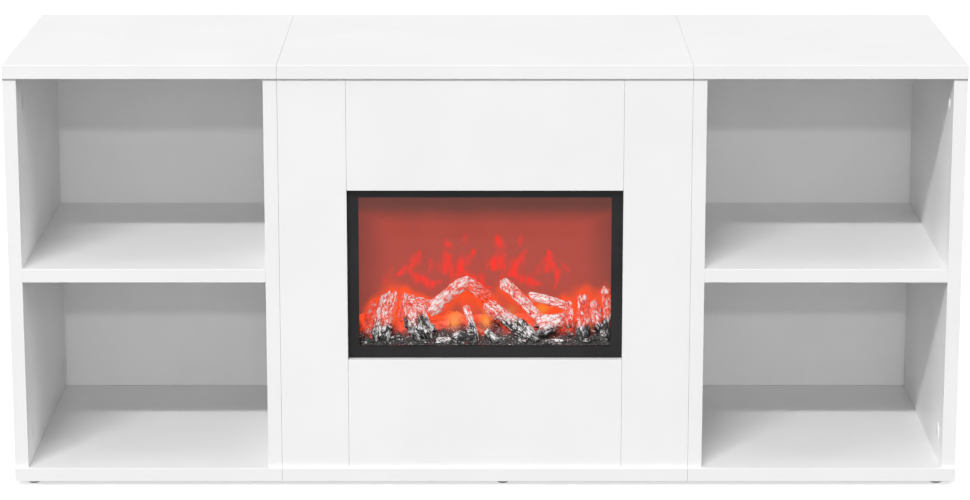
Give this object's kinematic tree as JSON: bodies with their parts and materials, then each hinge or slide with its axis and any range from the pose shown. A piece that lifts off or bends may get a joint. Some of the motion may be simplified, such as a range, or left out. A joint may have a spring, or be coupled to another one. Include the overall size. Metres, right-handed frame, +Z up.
{
  "type": "fireplace tv stand",
  "caption": "Low white board stand for a television, with open shelf compartments on both sides of a closed middle that holds a black-framed decorative flame insert.",
  "frame": {"origin": "middle of the stand's footprint, on the floor under the glides", "axes": "+X to the right seen from the front, +Y towards the back, +Z up"},
  "size_m": [1.1, 0.36, 0.5],
  "materials": {
    "white_board": "white melamine face and edging, satin",
    "back_sheet": "thin white fibreboard, matt",
    "zinc": "zinc plated",
    "black_steel": "matt black powder coat",
    "white_cap": "moulded, satin",
    "beech": "fluted beech, bare",
    "glide_plastic": "moulded, matt",
    "bezel_plastic": "moulded, fine texture",
    "glass": "clear float glass",
    "pad_rubber": "matt",
    "ember_resin": "cast resin, painted ash and char",
    "log_resin": "cast resin, painted ash and char",
    "flame_screen": "frosted, lit from behind",
    "bright_aluminium": "bright foil",
    "shaft_steel": "ground",
    "motor_can": "plated can",
    "bush_plastic": "moulded",
    "circuit_board": "lacquered circuit board",
    "light_chip": "moulded lens",
    "component_plastic": "moulded",
    "contact_brass": "turned",
    "lead_plastic": "insulated lead"
  },
  "bodies": {
    "cabinet": {"back_centre": "back_sheet", "back_left": "back_sheet", "back_right": "back_sheet", "board_components": "component_plastic", "cabinet_connectors": "zinc", "cam_bolts": "zinc", "cam_caps": "white_cap", "cam_locks": "zinc", "centre_side_left": "white_board", "centre_side_right": "white_board", "control_board": "circuit_board", "corner_brackets": "zinc", "ember_bed": "ember_resin", "flame_mask": "bright_aluminium", "flame_screen": "flame_screen", "floor_centre": "white_board", "floor_left": "white_board", "floor_right": "white_board", "front_panel_lower": "white_board", "front_panel_upper": "white_board", "front_stile_left": "white_board", "front_stile_right": "white_board", "gear_motor": "motor_can", "glide_pads": "glide_plastic", "inlet_fittings": "contact_brass", "inner_leads": "lead_plastic", "inner_side_left": "white_board", "inner_side_right": "white_board", "insert_bezel": "bezel_plastic", "insert_brackets": "black_steel", "insert_casing": "black_steel", "insert_glass": "glass", "insert_rear_cover": "black_steel", "insert_shelf": "white_board", "light_boards": "circuit_board", "light_chips": "light_chip", "log_set": "log_resin", "long_screws": "zinc", "nails": "zinc", "outer_side_left": "white_board", "outer_side_right": "white_board", "power_inlet": "component_plastic", "rest_pads": "pad_rubber", "screen_rails": "black_steel", "shelf_left": "white_board", "shelf_right": "white_board", "small_screws": "zinc", "spindle_bush": "bush_plastic", "spindle_plates": "zinc", "switch_body": "component_plastic", "top_centre": "white_board", "top_left": "white_board", "top_right": "white_board", "wood_dowels": "beech"},
    "flame_spindle": {"spindle_shaft": "shaft_steel", "motor_shaft": "shaft_steel", "drive_coupler": "pad_rubber", "spindle_vanes": "bright_aluminium"},
    "switch_rocker": {"switch_rocker": "component_plastic"}
  },
  "joints": [
    {"name": "flame_spindle_turn", "type": "hinge", "parent": "cabinet", "child": "flame_spindle", "pos_m": [0, -0.0667, 0.185], "axis": [1, 0, 0], "continuous": true},
    {"name": "switch_rock", "type": "hinge", "parent": "cabinet", "child": "switch_rocker", "pos_m": [-0.06028, -0.0398, 0.30094], "axis": [1, 0, 0], "range_deg": [0, 16]}
  ]
}
